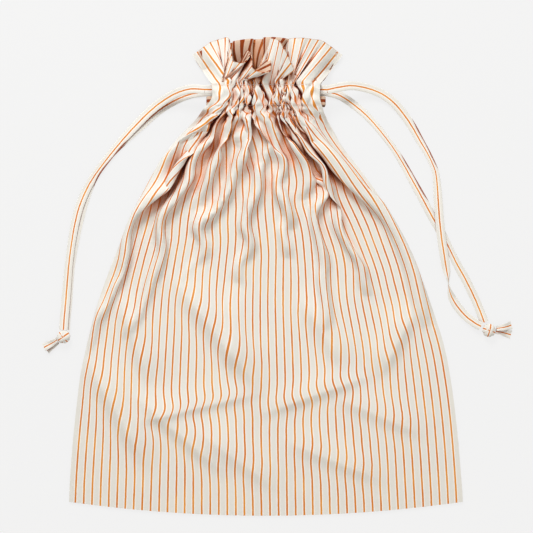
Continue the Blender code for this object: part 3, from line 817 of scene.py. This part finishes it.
def settled_front():
    """The front panel after it has fallen from its gathered shape onto the back panel."""
    grid = None
    for spacing, steps, rounds, *presses in SETTLING:
        rows, columns = round(FLAT_LENGTH / spacing) + 1, round(FLAT_WIDTH / spacing) + 1
        start, across, along = gathered(rows, columns, WAVES, FRONT_BASE, FRONT_SEAM, tucked=True)
        grid = start if grid is None else resample(grid, rows, columns)
        start = ruffled(puckered(start, across, along), across, along)
        pinned = np.zeros((rows, columns), bool)
        pinned[along > TUNNEL[0]] = pinned[:, 0] = pinned[:, -1] = True
        grid[pinned] = start[pinned]

        def hold(points, start=start, pinned=pinned):
            points[pinned] = start[pinned]
            points[0, :, 1] += (start[0, :, 1] - points[0, :, 1]) / 2
            points[0, :, 2] = start[0, 0, 2]

        cloth = Cloth(grid, pinned, hold)
        cloth.fall(steps, rounds, back_height, presses)
        grid = cloth.points.astype(float)
    rows, columns = round(FLAT_LENGTH / FINEST) + 1, round(FLAT_WIDTH / FINEST) + 1
    fallen = resample(grid - start, rows, columns)
    start, across, along = gathered(rows, columns, WAVES, FRONT_BASE, FRONT_SEAM, tucked=True)
    start = ruffled(puckered(start, across, along), across, along)
    return wrinkled(start + fallen), across, along


SHEET_THICK = 0.0005  # of every sheet but the front panel, which is a single surface
LINING_DROP = 0.0009  # between a panel and its facing
TUNNEL_CEILING = 0.0164  # where the front facing lies in the tunnel
TUNNEL_FLOOR = 0.0041  # where the back facing lies in it
BACK_LOW = 0.0006
BACK_RUFFLE = 0.0120  # the height of the back panel's ruffle


def surface_normals(grid):
    facing = np.cross(np.gradient(grid, axis=1), np.gradient(grid, axis=0))
    return facing / (np.linalg.norm(facing, axis=2, keepdims=True) + 1e-12)


def in_tunnel(along, ease=0.006):
    """One inside the tunnel's two rows of stitches, falling to nothing just outside them."""
    middle, half = sum(TUNNEL) / 2, (TUNNEL[1] - TUNNEL[0]) / 2
    return smooth(1 - (np.abs(along - middle) - half) / ease)


def pleated_back(rows=168, columns=201):
    """The back panel, pleated towards the neck in the room under the front one."""
    waves = ((0.000, 2, 1, 1), (0.250, 4, 1, 1), (0.350, 7, 1, 1), (0.441, 12, 1, 1), (0.500, 5, 1, 1))
    low = ((0, BACK_LOW), (FLAT_LENGTH, BACK_LOW))
    points, across, along = gathered(rows, columns, waves, low, low)
    z = points[:, :, 2] - BACK_LOW
    peak = z.max(axis=1, keepdims=True)
    top = back_height(0 * points[:, :1, 1], points[:, :1, 1])
    room = 0.8 * (top - BACK_TOP) + 0.0003
    fan = BACK_RUFFLE * (1 - 0.75 * (2 * across / FLAT_WIDTH)[None, :] ** 2)
    room = np.where(along[:, None] > TUNNEL[1], fan, room)
    room *= 1 - 0.96 * in_tunnel(along)[:, None]
    points[:, :, 2] = BACK_LOW + z * np.minimum(1, room / (peak + 1e-9))
    edge = smooth((np.abs(across) / (FLAT_WIDTH / 2) - 0.985) / 0.015)[None, :]
    seam = steps_at(((0, 0.0016), (0.405, 0.0016), (0.43, BACK_LOW), (0.452, BACK_LOW),
                     (0.47, 0.0018), (0.5, 0.0024)), along)[:, None]
    points[:, :, 2] += (seam - points[:, :, 2]) * edge
    return points, across, along


def lining(points, across, along, inward, level):
    """The facing: turned over the mouth's edge, against the panel, and level in the tunnel."""
    rows = along > TUNNEL[0]
    panel, along = points[rows], along[rows]
    against = panel + surface_normals(points)[rows] * inward * LINING_DROP
    share = np.linspace(0, 1, len(across))[None, :]
    flat = panel.copy()
    flat[:, :, 0] = panel[:, :1, 0] * (1 - share) + panel[:, -1:, 0] * share
    flat[:, :, 2] = level
    inside = in_tunnel(along, 0.010)[:, None, None]
    facing = against + (flat - against) * inside
    trim = slice(7, -7)
    turned = np.concatenate([panel[-1:], facing[::-1]])[:, trim]
    return turned, -across[trim], 2 * FLAT_LENGTH - np.concatenate([along[-1:], along[::-1]])


def thicken(piece):
    modifier = piece.modifiers.new("thickness", "SOLIDIFY")
    modifier.thickness = SHEET_THICK
    modifier.offset = 0
    return piece


# --- tapes and thread
def smooth_line(points, spacing):
    """Points about spacing apart along the Catmull-Rom curve through the given ones."""
    given = np.array(points, float)
    given = np.concatenate([2 * given[:1] - given[1:2], given, 2 * given[-1:] - given[-2:-1]])
    t = np.linspace(0, 1, 24, endpoint=False)[:, None]
    fine = [curve_between(*four, t) for four in zip(given, given[1:], given[2:], given[3:])]
    fine = np.concatenate([*fine, given[-2:-1]])
    travelled = travelled_along(fine)
    at = np.linspace(0, travelled[-1], max(2, round(travelled[-1] / spacing) + 1))
    return points_at(fine, travelled, at), at


def ribbon(name, line, at, width, roll, material, thick=TAPE_THICK, closed=False, up=(0, 0, 1),
           side=None, cup=0.0):
    """A folded tape along a line. Each point has its width and its roll about the line."""
    ahead = np.gradient(line, axis=0)
    if closed:
        ahead = np.roll(line, -1, axis=0) - np.roll(line, 1, axis=0)
    ahead /= np.linalg.norm(ahead, axis=1, keepdims=True)
    side = np.cross(ahead, up) if side is None else np.tile(side, (len(line), 1))
    side = side / np.linalg.norm(side, axis=1, keepdims=True)
    up = np.cross(side, ahead)
    cosine, sine = np.cos(roll)[:, None], np.sin(roll)[:, None]
    side, up = side * cosine + up * sine, up * cosine - side * sine
    steps = 12
    share = np.concatenate([np.linspace(-1, 1, steps + 1), np.linspace(1, -1, steps + 1)[1:-1]])
    face = np.concatenate([np.ones(steps + 1), -np.ones(steps - 1)])
    bulge = np.sqrt(np.clip(1 - np.abs(share) ** 6, 0, 1)) * (0.72 + 0.28 * np.abs(share) ** 2)
    bulge[[0, steps]] = 0
    rings = []
    for centre, across, out, broad in zip(line, side, up, width):
        lift = face * bulge * thick / 2 + cup * (share**2) * broad
        rings.append(centre + np.outer(share * broad / 2, across) + np.outer(lift, out))
    count, around = len(line), len(share)
    index = np.arange(count * around).reshape(count, around)
    faces, uvs = [], []
    flat = share * TAPE_WIDTH / 2
    for i in range(count if closed else count - 1):
        a, b = index[i], index[(i + 1) % count]
        near = at[i]
        far = near + np.linalg.norm(line[(i + 1) % count] - line[i])
        for j in range(around):
            k = (j + 1) % around
            faces.append((a[j], a[k], b[k], b[j]))
            uvs += [(flat[j], near), (flat[k], near), (flat[k], far), (flat[j], far)]
    if not closed:
        faces += [tuple(index[0][::-1]), tuple(index[-1])]
        uvs += [(x, 0) for x in (*flat[::-1], *flat)]
    data = bpy.data.meshes.new(name)
    data.from_pydata(np.concatenate(rings).tolist(), [], [tuple(map(int, f)) for f in faces])
    layer = data.uv_layers.new(name="cloth")
    layer.data.foreach_set("uv", np.array(uvs).ravel())
    data.shade_smooth()
    data.set_sharp_from_angle(angle=pi / 4)
    data.materials.append(material)
    return placed(name, data)


STITCH = 0.0026
STITCH_GAP = 0.0008
THREAD_RADIUS = 0.00018


def thread_piece(name, runs, material):
    """Short lengths of thread, one for each run of points, as one piece."""
    data = bpy.data.curves.new(name, "CURVE")
    data.dimensions = "3D"
    data.bevel_depth = THREAD_RADIUS
    data.bevel_resolution = 1
    data.use_fill_caps = True
    for run in runs:
        spline = data.splines.new("POLY")
        spline.points.add(len(run) - 1)
        for point, where in zip(spline.points, run):
            point.co = (*where, 1)
    data.materials.append(material)
    curve = placed(name, data)
    bpy.context.view_layer.update()
    mesh = bpy.data.meshes.new_from_object(curve.evaluated_get(bpy.context.evaluated_depsgraph_get()))
    mesh.shade_smooth()
    bpy.data.objects.remove(curve)
    return placed(name, mesh)


def stitch_row(name, line, lift, material):
    """A row of machine stitches that follows a line over the cloth."""
    line = np.array(line) + lift
    travelled = travelled_along(line)
    runs = []
    for start in np.arange(0.002, travelled[-1] - STITCH - 0.002, STITCH + STITCH_GAP):
        at = start + STITCH * np.linspace(0, 1, 5)
        run = points_at(line, travelled, at)
        run[[0, -1]] -= lift * 0.9
        runs.append(run)
    return thread_piece(name, runs, material)


def bar_tack(name, node, material):
    """A block of close zigzag stitches that ends a side opening."""
    low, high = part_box(node)
    passes = 18
    x = np.linspace(low[0] + THREAD_RADIUS, high[0] - THREAD_RADIUS, 2 * passes)
    y = np.where(np.arange(2 * passes) % 2, high[1] - THREAD_RADIUS, low[1] + THREAD_RADIUS)
    z = np.full(2 * passes, (low[2] + high[2]) / 2)
    return thread_piece(name, [np.stack([x, y, z], axis=1)], material)


SEAM_WIDTH = 0.006
SEAM_STEP = 0.004  # between the points along a seam
SEAM_INSET = 0.0007  # between a seam allowance and the panels' edge


def seam_strip(name, node, line, material):
    """A seam allowance: a narrow strip of cloth folded in along an edge."""
    width, length = 6, len(line)
    line = np.array(line)
    ahead = np.gradient(line, axis=0)
    ahead /= np.linalg.norm(ahead, axis=1, keepdims=True)
    inward = np.cross((0, 0, 1), ahead)
    low, high = (Vector(corner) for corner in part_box(node))
    middle = np.array(low + high) / 2
    inward *= np.sign(((middle - line) * inward).sum(1))[:, None]
    share = np.linspace(0, 1, width)
    wave = 0.00015 * np.sin(np.arange(length) * 0.9)[:, None] * share
    points = line[:, None] + inward[:, None] * (share * SEAM_WIDTH)[None, :, None]
    points[:, :, 2] = (low.z + high.z) / 2 + wave
    flat = share * SEAM_WIDTH, np.arange(length) * SEAM_STEP
    return mesh_from_grid(name, points, *flat, material, subdivide=1)


def finish_piece(piece, body, node):
    """Puts a piece on its body, in place of a CAD node."""
    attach(piece, body)
    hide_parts(node)


STITCH_ROWS = (("lower", 0.4315), ("upper", 0.4505))  # each row's place up the flat cloth
FRONT_LIFT, BACK_LIFT = 0.0003, 0.0001  # how far the stitches stand off the cloth


def add_stitching(front, material):
    """Both rows of stitches that close the tunnel, across the front and across the back."""
    fine = resample(front, 501, front.shape[1])
    for row, place in STITCH_ROWS:
        line = fine[round(place / FLAT_LENGTH * 500), 5:-5]
        piece = stitch_row(f"front_{row}_stitching", line, np.array((0, 0, FRONT_LIFT)), material)
        finish_piece(piece, "bag", f"front_{row}_stitches")
        low, high = (Vector(corner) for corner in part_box(f"back_{row}_stitches"))
        middle = (low + high) / 2
        line = [(x, middle.y, high.z) for x in np.linspace(low.x, high.x, 60)]
        piece = stitch_row(f"back_{row}_stitching", line, np.array((0, 0, BACK_LIFT)), material)
        finish_piece(piece, "bag", f"back_{row}_stitches")


def add_seams(material, thread):
    """The seam allowances folded inside, and the bar tacks that end each side opening."""
    sides = side_paths(np.linspace(0.015, 0.40, 97))
    mouths = side_paths(np.linspace(0.472, 0.490, 6))
    for label, inset, *edges in zip(("left", "right"), (SEAM_INSET, -SEAM_INSET), sides, mouths):
        for kind, line in zip(("side", "mouth"), edges):
            node = f"{label}_{kind}_seam"
            low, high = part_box(node)
            inside = (line[:, 1] > low[1]) & (line[:, 1] < high[1])
            line = np.column_stack([line[inside] + (inset, 0), np.zeros(inside.sum())])
            strip = seam_strip(f"{label}_{kind}_allowance", node, line, material)
            finish_piece(thicken(strip), "bag", node)
        for row in ("lower", "upper"):
            tack = bar_tack(f"{label}_{row}_tack", f"{label}_{row}_bar_tack", thread)
            finish_piece(tack, "bag", f"{label}_{row}_bar_tack")
    low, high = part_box("bottom_seam")
    line = []
    for x in np.linspace(low[0], high[0], 90):
        line.append((x, BOTTOM_Y + BOTTOM_BOW * (x / OUTLINE[0][2]) ** 2 + SEAM_INSET, 0))
    strip = seam_strip("bottom_allowance", "bottom_seam", line, material)
    finish_piece(thicken(strip), "bag", "bottom_seam")


# --- drawstrings
def route_shape(route, twists=(), pinches=(), shifts=()):
    """A strand's line, with its width and roll, each change at a share of its length."""
    line, at = smooth_line(route, LINE_SPACING)
    share = at / at[-1]
    for middle, spread, dx, dy in shifts:
        line[:, :2] += np.outer(np.exp(-(((share - middle) / spread) ** 2)), (dx, dy))
    roll, width = np.zeros(len(at)), np.full(len(at), TAPE_WIDTH)
    for middle, spread, turns in twists:
        roll += pi * turns * smooth((share - middle) / spread + 0.5)
    for middle, spread, depth in pinches:
        width *= 1 - depth * np.exp(-(((share - middle) / spread) ** 2))
    roll += 0.10 * np.sin(at * 55.0) * np.sin(pi * share)
    line[:, 2] += np.abs(np.sin(roll)) * width / 2
    return line, at, width, roll


def turn_line(side, heights):
    """The far stretch of a drawstring: through one tunnel, round the neck, back through the other."""
    high, low = heights
    inner, straight, radius = 0.0157, 0.0560, 0.0030
    front = [(-inner, EXIT_LANE, high), (inner, TURN_LANE, high), (0.9 * straight, TURN_LANE, high)]
    back = [(x, y, low) for x, y, _ in reversed(front)]
    bend = []
    for angle in np.linspace(0, pi / 2, 5):
        bend.append((straight + radius * sin(angle), TURN_LANE, radius * (1 - cos(angle))))
    upper = [(x, y, high - z) for x, y, z in bend]
    lower = [(x, y, low + z) for x, y, z in reversed(bend)]
    return [(side * x, y, z) for x, y, z in front + upper + lower + back]


KNOT_REST = 0.0002  # how far above the floor a knot's lowest wrap is
WRAP_POINTS = 40
WRAP_LENGTH = 0.03
WRAP_THICK = 0.0024


def knot_piece(name, node, bands, material):
    """An overhand knot in both ends: tape wound tightly over itself."""
    low, high = (Vector(corner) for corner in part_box(node))
    centre, size = (low + high) / 2, (high - low) / 2
    parts = []
    for k, (tilt, lean, reach, broad) in enumerate(bands):
        turn = Matrix.Rotation(radians(tilt), 3, "Z") @ Matrix.Rotation(radians(lean), 3, "Y")
        line, up = [], []
        for angle in np.linspace(0, 2 * pi, WRAP_POINTS, endpoint=False):
            out = turn @ Vector((cos(angle), 0, sin(angle)))
            scale = 1 / (Vector(out[i] / size[i] for i in range(3)).length)
            ripple = 1 + 0.03 * sin(3 * angle + k)
            line.append(centre + out * (scale * reach * ripple - TAPE_THICK / 2))
            up.append(out)
        at = np.linspace(0, WRAP_LENGTH, WRAP_POINTS)
        width = broad * (1 + 0.12 * np.sin(np.linspace(0, 2 * pi, WRAP_POINTS) * 2 + k))
        parts.append(ribbon(f"{name}_{k}", np.array(line), at, width, 0 * at, material,
                            thick=WRAP_THICK, closed=True, up=np.array(up), cup=-0.10))
    core = bmesh.new()
    placing = Matrix.LocRotScale(centre, None, size * 0.92)
    bmesh.ops.create_icosphere(core, subdivisions=4, radius=1, matrix=placing)
    data = bpy.data.meshes.new(f"{name}_core")
    core.to_mesh(data)
    core.free()
    uv = data.uv_layers.new(name="cloth")
    for loop in data.loops:
        where = data.vertices[loop.vertex_index].co - centre
        uv.data[loop.index].uv = (where.x + where.y * 0.4, where.y)
    data.materials.append(material)
    data.shade_smooth()
    middle = placed(f"{name}_core", data)
    with bpy.context.temp_override(active_object=middle, selected_editable_objects=[middle, *parts]):
        bpy.ops.object.join()
    lowest = min(vertex.co.z for vertex in middle.data.vertices)
    middle.data.transform(Matrix.Translation((0, 0, max(0, KNOT_REST - lowest))))
    middle.name = name
    return middle


def drawstring(label, side, heights, strands, tails, bands, material, shaded):
    """One drawstring: its turn, two sliding stretches, two strands, the knot and two tails."""
    line, at = smooth_line(turn_line(-side, heights), LINE_SPACING)
    piece = ribbon(f"{label}_turn", line, at, np.full(len(at), TAPE_WIDTH), 0 * at, shaded,
                   side=(0.0, 1.0, 0.0), thick=TAPE_FLATTENED)
    finish_piece(piece, "bag", f"{label}_tape_turn")
    for face, height in zip(("front", "back"), heights):
        ends = [(side * x, EXIT_LANE, height) for x in (0.0162, 0.0400, HINGE_X)]
        line, at = smooth_line(ends, LINE_SPACING)
        piece = ribbon(f"{label}_{face}_sliding", line, at, np.full(len(at), TAPE_WIDTH), 0 * at,
                       material, thick=TAPE_FLATTENED)
        finish_piece(piece, f"{label}_pull", f"{label}_{face}_sliding_tape")
    pairs = []
    for face, shape in zip(("front", "back"), strands):
        line, at, width, roll = route_shape(*shape)
        piece = ribbon(f"{label}_{face}_tape", line, at, width, roll, material)
        finish_piece(piece, f"{label}_swing", f"{label}_{face}_strand")
        pairs.append((piece, line, at))
    knot = knot_piece(f"{label}_overhand_knot", f"{label}_knot", bands, material)
    finish_piece(knot, f"{label}_swing", f"{label}_knot")
    for face, route in zip(("upper", "lower"), tails):
        line, at = smooth_line(route, 0.001)
        width = 0.0050 + 0.0035 * at / at[-1]
        piece = ribbon(f"{label}_{face}_end", line, at, width, 0.25 * np.sin(at * 400), material,
                       thick=0.0012, cup=0.06)
        finish_piece(piece, f"{label}_swing", f"{label}_{face}_tail")
    for k, (piece, line, at) in enumerate(pairs):
        tuple(line[0])
        [tuple(p) for p in line]


# --- the set
FLOOR_GLOW = 0.81
FLOOR_COLOUR = (0.06, 0.06, 0.06, 1)
FLOOR_DROP = -0.0002  # under the bag's lowest cloth
FLOOR_REACH = 12.0
KEY_LIGHT = ((-0.35, 1.25, 1.15), 0.6, 22.0)  # place, size and power in watts
FILL_LIGHT = ((0.6, -0.4, 1.6), 1.2, 4.0)
SKY_COLOUR = (1.0, 0.96, 0.90, 1)
SKY_STRENGTH = 0.55


def add_floor():
    mesh = bmesh.new()
    bmesh.ops.create_grid(mesh, x_segments=2, y_segments=2, size=FLOOR_REACH)
    data = bpy.data.meshes.new("floor")
    mesh.to_mesh(data)
    mesh.free()
    n = Nodes("pale_floor")
    n.surface(Base_Color=FLOOR_COLOUR, Roughness=0.9, Emission_Color=(1, 1, 1, 1),
              Emission_Strength=FLOOR_GLOW)
    data.materials.append(n.material)
    floor = placed("floor", data)
    floor.location.z = FLOOR_DROP


def add_lights():
    world = bpy.data.worlds.new("studio")
    world.use_nodes = True
    sky = world.node_tree.nodes["Background"].inputs
    sky["Color"].default_value = SKY_COLOUR
    sky["Strength"].default_value = SKY_STRENGTH
    bpy.context.scene.world = world
    for name, (where, size, power) in (("key", KEY_LIGHT), ("fill", FILL_LIGHT)):
        data = bpy.data.lights.new(name, "AREA")
        data.energy = power
        data.size = size
        light = placed(name, data)
        light.location = where
        light.rotation_euler = (-Vector(where)).to_track_quat("-Z", "Y").to_euler()


# --- assembly
add_camera()
bpy.context.scene.view_settings.view_transform = "Standard"
# the cloth's folds get painted shade from ambient occlusion
cloth_finish = cotton_material("striped_cotton_cloth")
# the tape's turn inside the tunnel gets painted shade
turn_shade_finish = cotton_material("cotton_tape_shaded", pitch=0.02, stripe=0.0030, offset=0.01, inside=0.95)
# the facings get painted shade, darker further in
inside_shade_finish = cotton_material("striped_cotton_inside_shaded", stripe=0.0034, inside=0.92)
# the tape's parting edges get painted shade
tape_finish = cotton_material("cotton_tape_cloth", pitch=0.02, stripe=0.0015, offset=0.01, shade=0.25,
                              relief=0.10, opened=0.0046)
thread_finish = thread_material("sewing_thread_finish")

LEFT_BANDS = ((35, 0, 1.00, 0.0085), (-50, 20, 0.96, 0.0070), (80, -15, 0.94, 0.0060))
RIGHT_BANDS = ((75, 0, 1.00, 0.0080), (-20, 15, 0.96, 0.0075), (20, -20, 0.93, 0.0060))
drawstring("left", -1, (0.0189, 0.0016),
           ((LEFT_FRONT, (), ((0.45, 0.12, 0.15), (0.75, 0.10, 0.12))),
            (LEFT_BACK, (), ((0.42, 0.10, 0.25),),
             ((0.42, 0.16, -0.0042, 0.0030), (0.80, 0.14, -0.0036, 0.0)))),
           LEFT_TAILS, LEFT_BANDS, tape_finish, turn_shade_finish)
drawstring("right", 1, (0.0176, 0.0029),
           ((RIGHT_FRONT, ((0.83, 0.10, 1.0),), ((0.83, 0.035, 0.60), (0.45, 0.08, 0.25))),
            (RIGHT_BACK, (), ((0.30, 0.15, 0.25), (0.72, 0.05, 0.15)))),
           RIGHT_TAILS, RIGHT_BANDS, tape_finish, turn_shade_finish)

front, across, along = settled_front()
front_piece = mesh_from_grid("front_cloth", front, across, along, cloth_finish)
finish_piece(front_piece, "bag", "front_panel")
back, back_across, back_along = pleated_back()
back_piece = mesh_from_grid("back_cloth", back, back_across, back_along, cloth_finish)
finish_piece(thicken(back_piece), "bag", "back_panel")
for name, grid, u, v, inward, level in (
    ("front", front, across, along, -1, TUNNEL_CEILING),
    ("back", back, back_across, back_along, 1, TUNNEL_FLOOR),
):
    inner = mesh_from_grid(f"{name}_lining", *lining(grid, u, v, inward, level), inside_shade_finish)
    finish_piece(thicken(inner), "bag", f"{name}_facing")
add_stitching(front, thread_finish)
add_seams(cloth_finish, thread_finish)

add_floor()
add_lights()
